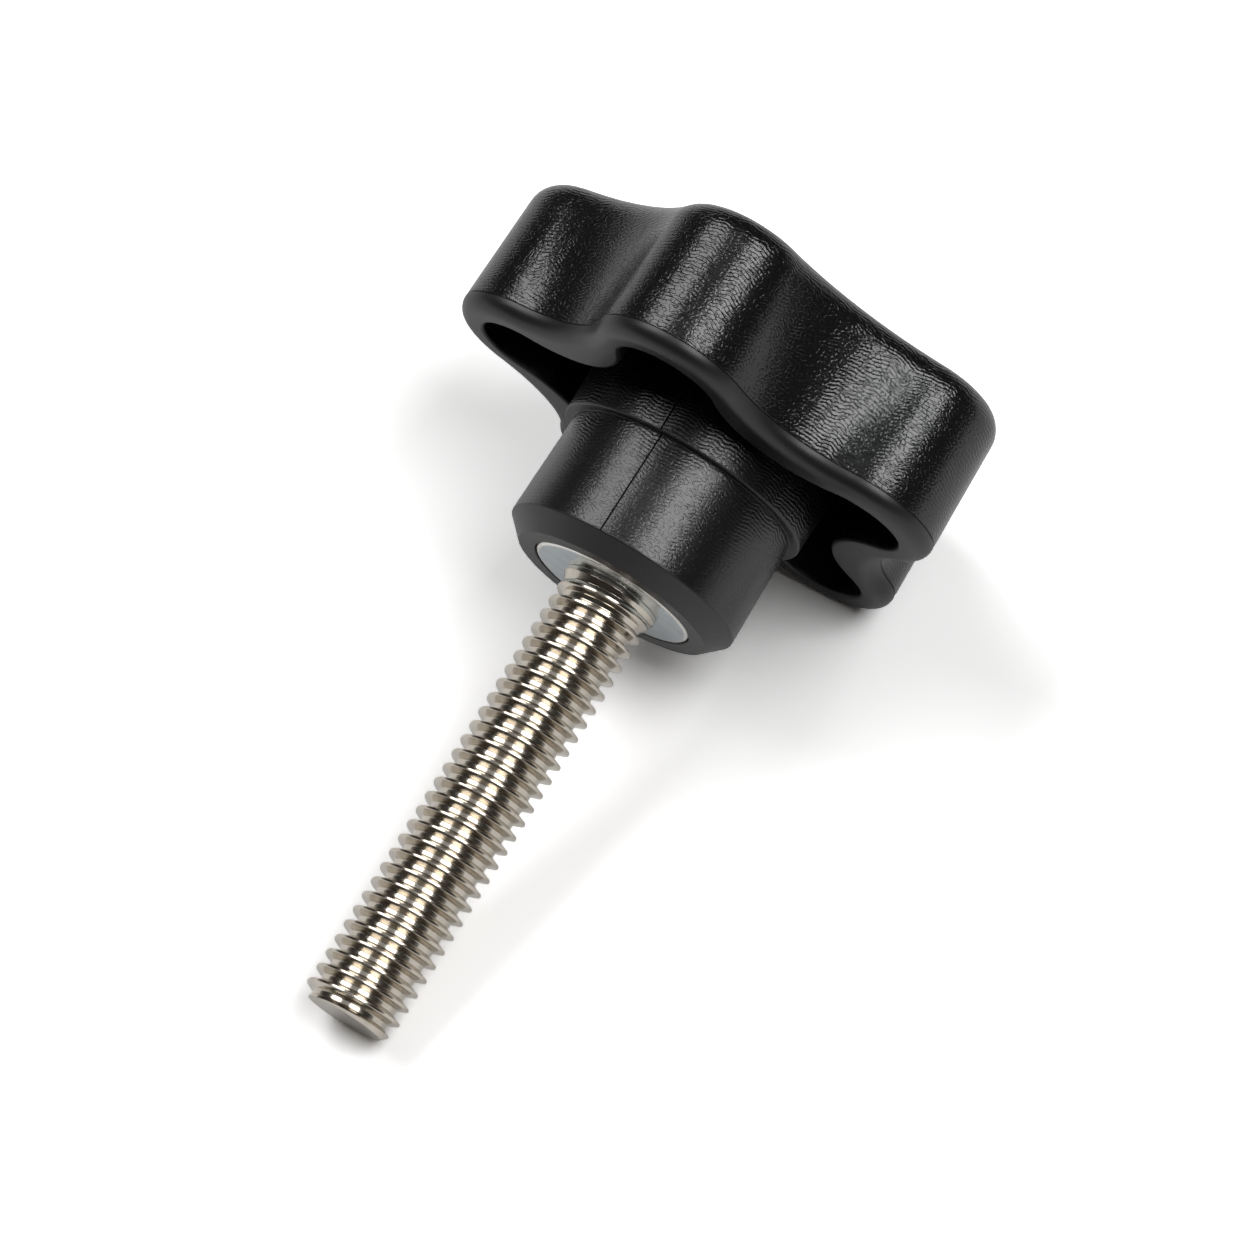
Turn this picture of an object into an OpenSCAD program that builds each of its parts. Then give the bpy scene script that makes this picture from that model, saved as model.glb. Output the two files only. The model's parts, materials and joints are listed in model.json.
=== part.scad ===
// Five-lobe clamping knob with a threaded stud, lying on its side on a flat surface.
// Every piece is built around the knob's own axis, with z = 0 at the end face of the hub,
// the head above it and the stud below it. lay_down() then puts the knob where it comes to
// rest: on the tip of the stud and on the rims of two lobes.

/* [Stud] */
// Major diameter of the threaded stud
stud_d = 6; // [5:0.1:7]
// Length of the stud from the face of the insert to its tip
stud_length = 30; // [16:1:60]
// Chamfer around the tip of the stud
tip_chamfer = 0.55; // [0.3:0.05:0.8]
// Height of the collar that flares out at the foot of the thread
collar_h = 0.5; // [0.3:0.1:1]
// How far the collar stands out from the thread where it meets the insert
collar_step = 0.12; // [0.05:0.01:0.3]
// Length of the stud that is screwed into the insert
stud_grip = 10; // [6:0.5:11]
// Distance from the crests of the thread down to its pitch line, where stud and insert meet
crest_to_pitch = 0.32; // [0.25:0.01:0.4]
// Gap between the stud and the hole that it is screwed into
thread_gap = 0.02; // [0.01:0.01:0.05]

/* [Insert] */
// Diameter of the face of the insert
insert_d = 10.7; // [9.8:0.1:11.2]
// Length of the insert
insert_length = 13.5; // [13:0.5:14.5]
// Chamfer around the face of the insert
insert_chamfer = 0.3; // [0.2:0.05:0.5]
// Distance from the face of the insert to its locking groove
groove_z = 3.2; // [2:0.1:4]
// Width of the locking groove
groove_w = 1.8; // [1:0.1:2.5]
// Depth of the locking groove
groove_depth = 0.9; // [0.4:0.1:1.1]
// Number of teeth of the knurl that stops the insert turning
knurl_teeth = 30; // [20:1:36]
// Height of the teeth of the knurl
knurl_h = 0.35; // [0.2:0.05:0.4]
// Length of the knurled band
knurl_length = 6; // [3:0.5:6.5]
// Plain length of the insert past its knurl
knurl_end = 1; // [0.5:0.1:1.5]
// Gap between the insert and the moulding around it
mould_gap = 0.02; // [0.01:0.01:0.05]

/* [Hub] */
// Diameter of the hub at its end
hub_d = 15.4; // [14.8:0.1:16]
// How much narrower the hub is at the shoulder than at its end
hub_taper = 0.3; // [0:0.1:0.5]
// Height of the shoulder above the end face of the hub
hub_length = 8.1; // [5.5:0.1:12]
// Chamfer around the end face of the hub
hub_chamfer = 1.2; // [0.5:0.1:1.4]
// Width of the shoulder where the hub grows into the head
shoulder_w = 0.65; // [0.4:0.05:0.8]
// Rounding of the edge of the shoulder
shoulder_round = 0.2; // [0.1:0.05:0.3]
// Rounding at the root of the hub, inside the head
root_round = 0.6; // [0.3:0.1:0.8]

/* [Head] */
// Diameter over the lobes
head_d = 34; // [32:0.5:42]
// Number of lobes
lobes = 5; // [4:1:6]
// Radius of the round end of a lobe
lobe_r = 5.1; // [4.5:0.1:5.6]
// Depth of the valleys below the tips of the lobes, at the rim
valley_depth = 4.4; // [3.8:0.1:5]
// Share of the valleys' hollow, below a line across two lobes, that is left at the top
valley_top = 0.55; // [0.4:0.05:1]
// Height of the rim of the head above the shoulder
rim_rise = 1.7; // [0.5:0.1:4]
// Height of the head from its rim to the edge of its top
head_h = 10; // [8:0.5:16]
// Rounding between the rim and the side of the head
rim_round = 1; // [0.5:0.1:1.2]
// Rounding between the side and the top of the head
top_round = 1.8; // [1:0.1:2.4]
// Height of the crowned top above its edge
crown = 0.6; // [0.2:0.1:1.5]
// Draft of the side of the head, in degrees
side_draft = 1.5; // [0:0.5:3]

/* [Hollow] */
// Wall of the head at the tip of a lobe
lobe_wall = 1.9; // [1.7:0.1:2.2]
// Wall of the head at the floor of a valley
valley_wall = 3; // [2.6:0.1:3.2]
// Thickness of the roof of the head
roof = 2.2; // [1.6:0.1:3]
// Rounding between the wall and the ceiling of the hollow
ceiling_round = 0.8; // [0.4:0.1:1]
// Rounding between the rim and the wall of the hollow
lip_round = 0.25; // [0.1:0.05:0.4]
// Draft of the wall of the hollow, in degrees
hollow_draft = 1; // [0:0.5:2]

/* [Hidden] */
$fn = 96;

// Steps of the outline along one lobe and along one valley
lobe_steps = 14;
valley_steps = 9;
// Steps of a rounding, and rings across the crowned top
round_steps = 4;
crown_rings = 3;
// Share of a quarter turn after each step of a rounding
quarters = [for (i = [0:round_steps]) 90 * i / round_steps];

stud_r = stud_d / 2;
collar_r = stud_r + collar_step;
grip_r = stud_r - crest_to_pitch;
insert_r = insert_d / 2;
hub_r = hub_d / 2;
neck_r = hub_r - hub_taper / 2;
shoulder_r = neck_r + shoulder_w;
head_r = head_d / 2;

// How far the flanks of the knurl's teeth run on below the surface of the insert
tooth_sink = 0.1;

// Heights on the axis of the knob. The side of the head runs from side_z to edge_z.
rim_z = hub_length + rim_rise;
side_z = rim_z + rim_round;
top_z = rim_z + head_h;
edge_z = top_z - top_round;
ceiling_z = top_z - roof;
knurl_z = insert_length - insert_chamfer - knurl_end - knurl_length;

// Insets that the draft gives at the end of each wall
side_inset = (edge_z - side_z) * tan(side_draft);
hollow_inset = (ceiling_z - rim_z) * tan(hollow_draft);

// Angle of the axis to the surface that the knob lies on. The surface touches the stud where
// its tip chamfer starts, and the rounding of the rim at two lobes, one each side of a valley.
half_pitch = 180 / lobes;
reach = (head_r - lobe_r) * cos(half_pitch) + lobe_r;
to_rim = [side_z + stud_length - tip_chamfer, reach - rim_round - stud_r];
tilt = atan2(to_rim[1], to_rim[0]) + asin(rim_round / norm(to_rim));

// Where the hub's end face stands when the knob lies with its box centred over the origin
lie_z = stud_r * cos(tilt) + (stud_length - tip_chamfer) * sin(tilt);
tip_x = -(stud_r - tip_chamfer) * sin(tilt) - stud_length * cos(tilt);
top_corner = [edge_z, reach - side_inset - top_round];
top_x = top_corner[1] * sin(tilt) + top_corner[0] * cos(tilt) + top_round;
lie_x = -(tip_x + top_x) / 2;

module lay_down() {
    translate([lie_x, 0, lie_z]) rotate([0, 90 - tilt, 0]) children();
}

// Points on an arc of radius r about centre c, from angle a to angle b
function arc(c, r, a, b, steps) =
    [for (i = [0:steps]) let (t = a + (b - a) * i / steps) c + r * [cos(t), sin(t)]];

function turned(points, angle) =
    [for (p = points) [p[0] * cos(angle) - p[1] * sin(angle), p[0] * sin(angle) + p[1] * cos(angle)]];

function without_last(points) = [for (i = [0:len(points) - 2]) points[i]];

// One lobe and the valley after it, as two arcs that meet smoothly. tip is the radius of the
// outline at the lobes, lobe the radius of a lobe's arc and floor_r the radius at the valleys.
function lobe_and_valley(tip, lobe, floor_r) =
    let (
        c = tip - lobe,
        h = half_pitch,
        valley = (floor_r ^ 2 - 2 * floor_r * c * cos(h) + c ^ 2 - lobe ^ 2)
            / (2 * (lobe - floor_r + c * cos(h))),
        v = floor_r + valley,
        lobe_half = atan2(v * sin(h), v * cos(h) - c),
        valley_half = asin(c * sin(h) / (lobe + valley))
    )
    concat(
        without_last(arc([c, 0], lobe, -lobe_half, lobe_half, lobe_steps)),
        without_last(arc(v * [cos(h), sin(h)], valley, 180 + h + valley_half,
            180 + h - valley_half, valley_steps))
    );

// The whole outline at height z. A valley lies at angle 0, which lay_down() turns downwards.
function outline(tip, lobe, floor_r, z) =
    let (part = lobe_and_valley(tip, lobe, floor_r))
    [for (i = [0:lobes - 1]) each [for (p = turned(part, half_pitch * (2 * i + 1))) [p[0], p[1], z]]];

// Radius at the floor of a valley at height z, where the valley gets shallower towards the top
function valley_floor(z) =
    let (
        rim_floor = head_r - valley_depth,
        share = max(0, min(1, (z - side_z) / (edge_z - side_z)))
    )
    rim_floor + (reach - rim_floor) * (1 - valley_top) * share;

// Outline of the outside of the head, moved in by inset
function outside(inset, z) = outline(head_r - inset, lobe_r - inset, valley_floor(z) - inset, z);

// Outline of the hollow, moved in by inset
function inside(inset, z) =
    outline(head_r - lobe_wall - inset, lobe_r - lobe_wall - inset,
        head_r - valley_depth - valley_wall - inset, z);

// Outline of the top, shrunk towards the axis and raised to the crown
function crowned(share) =
    [for (p = outside(side_inset + top_round, top_z))
        [p[0] * share, p[1] * share, top_z + crown * (1 - share ^ 2)]];

// Closed skin through rings of equal length, from the point first to the point last
module skin(rings, first, last) {
    n = len(rings[0]);
    m = len(rings);
    points = concat([for (ring = rings) each ring], [first, last]);
    bands = [for (k = [0:m - 2]) for (i = [0:n - 1])
        let (a = k * n + i, b = k * n + (i + 1) % n)
        each [[a, a + n, b], [b, a + n, b + n]]];
    start = [for (i = [0:n - 1]) [m * n, i, (i + 1) % n]];
    end = [for (i = [0:n - 1]) [m * n + 1, (m - 1) * n + (i + 1) % n, (m - 1) * n + i]];
    polyhedron(points = points, faces = concat(bands, start, end), convexity = 8);
}

// The hollow lobed head, walked from the ceiling of the hollow round the rim to the crown
module head_shell() {
    ceiling = [for (a = quarters)
        inside(hollow_inset + ceiling_round * (1 - sin(a)), ceiling_z - ceiling_round * (1 - cos(a)))];
    lip = [for (a = quarters)
        inside(-lip_round * (1 - cos(a)), rim_z + lip_round * (1 - sin(a)))];
    rim = [for (a = quarters)
        outside(rim_round * (1 - sin(a)), rim_z + rim_round * (1 - cos(a)))];
    edge = [for (a = quarters)
        outside(side_inset + top_round * (1 - cos(a)), top_z - top_round * (1 - sin(a)))];
    top = [for (i = [1:crown_rings]) crowned(1 - i / (crown_rings + 1))];
    skin(concat(ceiling, lip, rim, edge, top), [0, 0, ceiling_z], [0, 0, top_z + crown]);
}

// Section of the hub: chamfered end, shoulder, and the root that flares into the roof
module hub() {
    root_r = shoulder_r + hollow_inset;
    root_z = ceiling_z + roof / 2;
    rotate_extrude() polygon(concat(
        [[0, 0], [hub_r - hub_chamfer, 0], [hub_r, hub_chamfer], [neck_r, hub_length]],
        arc([shoulder_r - shoulder_round, hub_length + shoulder_round], shoulder_round, -90, 0,
            round_steps),
        arc([root_r + root_round, ceiling_z - root_round], root_round, 180, 90, round_steps),
        [[root_r + root_round, root_z], [0, root_z]]
    ));
}

// The insert without its hole, grown by gap for its seat. The seat runs straight out to the
// face, which leaves the chamfer around the face of the insert open to view.
module insert_blank(face_chamfer, gap) {
    r = insert_r + gap;
    groove_r = r - groove_depth;
    tooth_r = [r - tooth_sink, r + knurl_h];
    turn = 180 / knurl_teeth;
    rotate_extrude() polygon([
        [0, -gap], [r - face_chamfer, -gap], [r, face_chamfer], [r, groove_z + gap],
        [groove_r, groove_z + gap + groove_depth / 2],
        [groove_r, groove_z + groove_w - gap - groove_depth / 2], [r, groove_z + groove_w - gap],
        [r, insert_length - insert_chamfer], [r - insert_chamfer, insert_length + gap],
        [0, insert_length + gap]
    ]);
    translate([0, 0, knurl_z - gap]) linear_extrude(knurl_length + 2 * gap)
        polygon([for (i = [0:2 * knurl_teeth - 1]) tooth_r[i % 2] * [cos(i * turn), sin(i * turn)]]);
}

module knob_body() {
    color([0.07, 0.07, 0.08]) lay_down() difference() {
        union() {
            head_shell();
            hub();
        }
        insert_blank(0, mould_gap);
    }
}

module threaded_insert() {
    hole_r = grip_r + thread_gap;
    color([0.68, 0.74, 0.77]) lay_down() difference() {
        insert_blank(insert_chamfer, 0);
        translate([0, 0, -1]) cylinder(r = hole_r, h = 1 + stud_grip + 2 * thread_gap);
    }
}

// The stud as a plain rod, with the collar that stops it at the face of the insert. It has the
// thread's major diameter outside the insert, and its pitch diameter where the threads engage.
module threaded_stud() {
    color([0.72, 0.69, 0.64]) lay_down() rotate_extrude() polygon([
        [0, -stud_length], [stud_r - tip_chamfer, -stud_length], [stud_r, tip_chamfer - stud_length],
        [stud_r, -collar_h], [collar_r, 0], [grip_r, 0],
        [grip_r, stud_grip - tip_chamfer], [grip_r - tip_chamfer, stud_grip], [0, stud_grip]
    ]);
}

knob_body();
threaded_insert();
threaded_stud();
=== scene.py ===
"""Lobed clamping knob with a threaded stud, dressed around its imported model.

The knob lies on its side. Its pieces are built in millimetres around the knob's own axis, with
z = 0 at the end face of the hub, the head above it and the stud below it, and KnobAxes puts them
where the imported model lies.
"""

import json
import logging
import math
from collections.abc import Mapping, Sequence
from dataclasses import dataclass
from enum import Enum

import bmesh
import bpy
import numpy as np
from mathutils import Matrix, Quaternion, Vector


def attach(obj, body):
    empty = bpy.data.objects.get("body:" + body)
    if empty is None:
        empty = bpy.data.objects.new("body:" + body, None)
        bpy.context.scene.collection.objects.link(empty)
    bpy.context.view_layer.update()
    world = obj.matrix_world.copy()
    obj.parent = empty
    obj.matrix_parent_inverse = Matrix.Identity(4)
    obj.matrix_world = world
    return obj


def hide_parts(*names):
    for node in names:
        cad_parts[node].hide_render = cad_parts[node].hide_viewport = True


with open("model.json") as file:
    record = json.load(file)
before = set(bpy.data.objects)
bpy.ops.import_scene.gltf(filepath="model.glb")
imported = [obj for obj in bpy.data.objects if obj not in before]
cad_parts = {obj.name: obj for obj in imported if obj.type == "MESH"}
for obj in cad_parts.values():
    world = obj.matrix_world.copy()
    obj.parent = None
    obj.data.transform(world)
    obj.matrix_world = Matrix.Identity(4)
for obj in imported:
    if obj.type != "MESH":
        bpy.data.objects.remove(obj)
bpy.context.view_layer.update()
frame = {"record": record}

MM = 0.001
# The attributes that hold each point's place on the knob and the weight of the grain there
PLACE = "knob_mm"
GRAIN = "grain"
# An edge whose faces turn by more than this stays sharp
SHARP = math.radians(35.0)

log = logging.getLogger("knob")


class Skin(Enum):
    """How a stretch of the moulding left the mould: its value is the weight of the grain."""

    GRAINED = 1.0
    FINE = 0.62
    SATIN = 0.0


class Ray(Enum):
    """Kinds of ray that see the background as it is painted."""

    CAMERA = "Is Camera Ray"
    GLOSSY = "Is Glossy Ray"
    TRANSMISSION = "Is Transmission Ray"


@dataclass(frozen=True)
class KnobAxes:
    """Where the knob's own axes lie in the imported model's frame.

    Args:
        origin: centre of the hub's end face, in metres.
        turn: matrix whose columns are the knob's x, y and z in that frame.
    """

    origin: np.ndarray
    turn: np.ndarray

    @classmethod
    def from_record(cls, record: Mapping, stud_length: float) -> "KnobAxes":
        """Reads the axis from the mount at the tip of the stud.

        Args:
            record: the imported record.
            stud_length: from the hub's end face to the tip, in millimetres.

        Returns:
            The knob's axes, with x turned towards the surface that the knob lies on.
        """
        tip = next(mount for mount in record["mounts"] if mount["name"] == "stud_tip")
        z = -np.array(tip["axis"], float)
        z /= np.linalg.norm(z)
        y = np.array([0.0, 1.0, 0.0])
        x = np.cross(y, z)
        origin = np.array(tip["pos_m"], float) + z * stud_length * MM
        return cls(origin, np.column_stack([x, y, z]))

    def place(self, points: np.ndarray) -> np.ndarray:
        """Takes points from the knob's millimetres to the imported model's metres.

        Args:
            points: an array of n by 3.

        Returns:
            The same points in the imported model's frame.
        """
        return points @ self.turn.T * MM + self.origin


def on_circle(angles: np.ndarray, radius: float | np.ndarray) -> np.ndarray:
    """Works out points in plan at these angles, at one radius or at a radius for each angle."""
    return np.column_stack([np.cos(angles), np.sin(angles)]) * np.reshape(radius, (-1, 1))


def bands(rings: int, count: int) -> list[tuple[int, ...]]:
    """Joins each ring of points to the next.

    Args:
        rings: number of rings.
        count: points of each ring.

    Returns:
        The faces between them.
    """
    here = np.arange(count)
    there = (here + 1) % count
    faces: list[tuple[int, ...]] = []
    for low in range(0, (rings - 1) * count, count):
        faces += zip(low + here, low + there, low + count + there, low + count + here)
    return faces


def fan(pole: int, ring: int, count: int) -> list[tuple[int, ...]]:
    """Closes a ring of points with a pole.

    Args:
        pole: the pole's number.
        ring: number of the ring's first point.
        count: points of the ring.

    Returns:
        The faces between them.
    """
    return [(pole, ring + here, ring + (here + 1) % count) for here in range(count)]


def direction(azimuth: float, elevation: float) -> Vector:
    """Works out the direction at an azimuth from +X towards +Y and an elevation, in degrees."""
    a, e = math.radians(azimuth), math.radians(elevation)
    return Vector((math.cos(a) * math.cos(e), math.sin(a) * math.cos(e), math.sin(e)))


@dataclass(frozen=True)
class Corner:
    """A corner of a section.

    Args:
        r: its radius.
        z: its height.
        rounding: radius of its rounding.
        skin: the moulding's skin on the stretch after it.
    """

    r: float
    z: float
    rounding: float = 0.0
    skin: Skin = Skin.SATIN


@dataclass(frozen=True)
class Section:
    """A section, walked from corner to corner.

    Args:
        corners: the corners in order.
        steps: steps of each rounding.
        support: distance from a rounding to the point that keeps the stretch beside it flat.
    """

    corners: tuple[Corner, ...]
    steps: int = 5
    support: float = 0.06

    def walk(self) -> list[tuple[float, float, Skin]]:
        """Rounds the corners.

        Returns:
            Radius, height and skin of each ring.
        """
        rings: list[tuple[float, float, Skin]] = []
        last = len(self.corners) - 1
        for index, corner in enumerate(self.corners):
            before = self.corners[max(index - 1, 0)]
            if corner.rounding == 0.0 or index in (0, last):
                rings.append((corner.r, corner.z, corner.skin))
                continue
            after = self.corners[index + 1]
            rings += self._rounded(before, corner, after)
        return rings

    def _rounded(self, before: Corner, corner: Corner, after: Corner) -> list[tuple[float, float, Skin]]:
        """Replaces one corner by an arc with a support point at each side.

        Args:
            before: the corner before it.
            corner: the corner to round.
            after: the corner after it.

        Returns:
            Radius, height and skin of each ring around the corner.
        """
        at = np.array([corner.r, corner.z])
        back = np.array([before.r, before.z]) - at
        on = np.array([after.r, after.z]) - at
        room = [float(np.linalg.norm(back)), float(np.linalg.norm(on))]
        back /= room[0]
        on /= room[1]
        half = math.acos(max(-1.0, min(1.0, float(back @ on)))) / 2
        reach = min(corner.rounding / math.tan(half), 0.48 * min(room))
        radius = reach * math.tan(half)
        centre = at + (back + on) / np.linalg.norm(back + on) * radius / math.sin(half)
        start = at + back * reach - centre
        end = at + on * reach - centre
        turn = math.pi - 2 * half
        supports = [min(reach + self.support, 0.49 * length) for length in room]
        arc = [
            (start * math.sin(turn * (1 - t)) + end * math.sin(turn * t)) / math.sin(turn) + centre
            for t in np.linspace(0.0, 1.0, self.steps + 1)
        ]
        points = [at + back * supports[0], *arc, at + on * supports[1]]
        skins = [before.skin] + [Skin.SATIN] * len(arc) + [corner.skin]
        return [(float(p[0]), float(p[1]), skin) for p, skin in zip(points, skins)]


@dataclass(frozen=True)
class LobedOutline:
    """Plan outline of the head: one arc at each lobe and one at each valley, which meet smoothly.

    Args:
        tip: radius over the lobes.
        lobe: radius of a lobe's arc.
        floor: radius at the floor of a valley.
        lobes: number of lobes.
        lobe_steps: steps along a lobe's arc.
        valley_steps: steps along a valley's arc.
    """

    tip: float
    lobe: float
    floor: float
    lobes: int
    lobe_steps: int = 40
    valley_steps: int = 24

    @property
    def reach(self) -> float:
        """Radius of a line across two lobes."""
        return (self.tip - self.lobe) * math.cos(math.pi / self.lobes) + self.lobe

    def points(self, inset: float = 0.0, filled: float = 0.0) -> np.ndarray:
        """Works out the outline moved in by an inset.

        Args:
            inset: how far it is moved in.
            filled: share of the valleys' hollow, below a line across two lobes, that is filled.

        Returns:
            An array of n by 2, with the valley at angle 0 last.
        """
        half = math.pi / self.lobes
        floor = self.floor + filled * (self.reach - self.floor) - inset
        lobe = self.lobe - inset
        centre = self.tip - self.lobe
        valley = (floor**2 - 2 * floor * centre * math.cos(half) + centre**2 - lobe**2) / (
            2 * (lobe - floor + centre * math.cos(half))
        )
        far = floor + valley
        lobe_half = math.atan2(far * math.sin(half), far * math.cos(half) - centre)
        valley_half = math.asin(centre * math.sin(half) / (lobe + valley))
        along = np.linspace(-lobe_half, lobe_half, self.lobe_steps, endpoint=False)
        around = math.pi + half + np.linspace(valley_half, -valley_half, self.valley_steps, endpoint=False)
        part = np.concatenate([
            np.column_stack([centre + lobe * np.cos(along), lobe * np.sin(along)]),
            np.column_stack([
                far * math.cos(half) + valley * np.cos(around),
                far * math.sin(half) + valley * np.sin(around),
            ]),
        ])
        turned = [self._turned(part, half * (2 * index + 1)) for index in range(self.lobes)]
        return np.concatenate(turned)

    @staticmethod
    def _turned(points: np.ndarray, angle: float) -> np.ndarray:
        """Turns points about the axis by an angle in radians."""
        c, s = math.cos(angle), math.sin(angle)
        return points @ np.array([[c, s], [-s, c]])


class RingSkin:
    """Closed skin that is walked along rings of equal length, with a pole at each end."""

    def __init__(self, start: float, end: float) -> None:
        """Starts an empty skin.

        Args:
            start: height of the pole before the first ring.
            end: height of the pole after the last ring.
        """
        self.rings: list[np.ndarray] = []
        self.grain: list[float] = []
        self.poles = (start, end)

    def ring(self, plan: np.ndarray, height: float | np.ndarray, skin: Skin = Skin.SATIN) -> None:
        """Adds a ring.

        Args:
            plan: its points in plan, n by 2.
            height: its height, or the height of each point.
            skin: the moulding's skin from here on.
        """
        heights = np.broadcast_to(np.asarray(height, float), (len(plan),))
        self.rings.append(np.column_stack([plan, heights]))
        self.grain.append(skin.value)

    def circle(self, angles: np.ndarray, radius: float | np.ndarray, height: float,
               skin: Skin = Skin.SATIN) -> None:
        """Adds a ring of one radius, or of a radius for each angle."""
        self.ring(on_circle(angles, radius), height, skin)

    def build(self, name: str, axes: KnobAxes) -> bpy.types.Object:
        """Makes the mesh.

        Args:
            name: the object's name.
            axes: where the knob lies.

        Returns:
            The new object, smooth-shaded, with its places and grain as attributes.
        """
        count = len(self.rings[0])
        last = len(self.rings) - 1
        points = np.concatenate([*self.rings, [(0.0, 0.0, pole) for pole in self.poles]])
        faces = bands(last + 1, count)
        faces += fan(len(points) - 2, 0, count)
        faces += fan(len(points) - 1, last * count, count)
        grain = np.concatenate([np.repeat(self.grain, count), [self.grain[0], self.grain[-1]]])
        return make_piece(name, points, faces, grain, axes)


def make_piece(name: str, points: np.ndarray, faces: Sequence[Sequence[int]], grain: np.ndarray,
               axes: KnobAxes) -> bpy.types.Object:
    """Makes one closed object, smooth-shaded between its sharp edges.

    Args:
        name: the object's name.
        points: its points in the knob's millimetres.
        faces: the points of each face.
        grain: weight of the grain at each point.
        axes: where the knob lies.

    Returns:
        The new object.
    """
    mesh = bpy.data.meshes.new(name)
    mesh.from_pydata(axes.place(points).tolist(), [], [tuple(int(i) for i in face) for face in faces])
    place = mesh.attributes.new(PLACE, "FLOAT_VECTOR", "POINT")
    place.data.foreach_set("vector", points.astype(np.float32).ravel())
    weight = mesh.attributes.new(GRAIN, "FLOAT", "POINT")
    weight.data.foreach_set("value", grain.astype(np.float32))
    work = bmesh.new()
    work.from_mesh(mesh)
    bmesh.ops.remove_doubles(work, verts=work.verts, dist=0.0005 * MM)
    bmesh.ops.dissolve_degenerate(work, edges=work.edges, dist=0.0002 * MM)
    bmesh.ops.recalc_face_normals(work, faces=work.faces)
    work.to_mesh(mesh)
    work.free()
    mesh.shade_smooth()
    mesh.set_sharp_from_angle(angle=SHARP)
    piece = bpy.data.objects.new(name, mesh)
    bpy.context.scene.collection.objects.link(piece)
    return piece


class Signal:
    """An output of a shader tree that takes part in arithmetic.

    Numbers go through Math nodes, and vectors and colours through Vector Math nodes.
    """

    def __init__(self, tree: "ShaderTree", socket: bpy.types.NodeSocket) -> None:
        """Wraps a socket of a tree."""
        self.tree = tree
        self.socket = socket

    @property
    def is_vector(self) -> bool:
        """Whether the socket carries a vector or a colour."""
        return self.socket.type in ("VECTOR", "RGBA")

    def apply(self, operation: str, *others: "Signal | float | Sequence[float]") -> "Signal":
        """Adds one node of arithmetic.

        Args:
            operation: the name of the operation in Blender.
            others: what the operation takes besides this signal.

        Returns:
            The result.
        """
        kind = "ShaderNodeVectorMath" if self.is_vector else "ShaderNodeMath"
        return self.tree.join(kind, operation, (self, *others))

    def _reflected(self, operation: str, other: "float | Sequence[float]") -> "Signal":
        """Adds one node with this signal as the second operand."""
        kind = "ShaderNodeVectorMath" if self.is_vector else "ShaderNodeMath"
        return self.tree.join(kind, operation, (other, self))

    def __add__(self, other: "Signal | float | Sequence[float]") -> "Signal":
        """Sum."""
        return self.apply("ADD", other)

    def __radd__(self, other: "float | Sequence[float]") -> "Signal":
        """Sum with this signal on the right."""
        return self._reflected("ADD", other)

    def __sub__(self, other: "Signal | float | Sequence[float]") -> "Signal":
        """Difference."""
        return self.apply("SUBTRACT", other)

    def __rsub__(self, other: "float | Sequence[float]") -> "Signal":
        """Difference with this signal on the right."""
        return self._reflected("SUBTRACT", other)

    def __mul__(self, other: "Signal | float | Sequence[float]") -> "Signal":
        """Product."""
        return self.apply("MULTIPLY", other)

    def __rmul__(self, other: "float | Sequence[float]") -> "Signal":
        """Product with this signal on the right."""
        return self._reflected("MULTIPLY", other)

    def ramp(self, low: float, high: float, start: float = 0.0, end: float = 1.0) -> "Signal":
        """Maps low to start and high to end, smoothly and with nothing past either.

        Args:
            low: value that gives start.
            high: value that gives end.
            start: result at low.
            end: result at high.

        Returns:
            The mapped value.
        """
        made = self.tree.node(
            "ShaderNodeMapRange",
            {"interpolation_type": "SMOOTHSTEP"},
            {"Value": self, "From Min": low, "From Max": high, "To Min": start, "To Max": end},
        )
        return Signal(self.tree, made.outputs["Result"])


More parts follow.
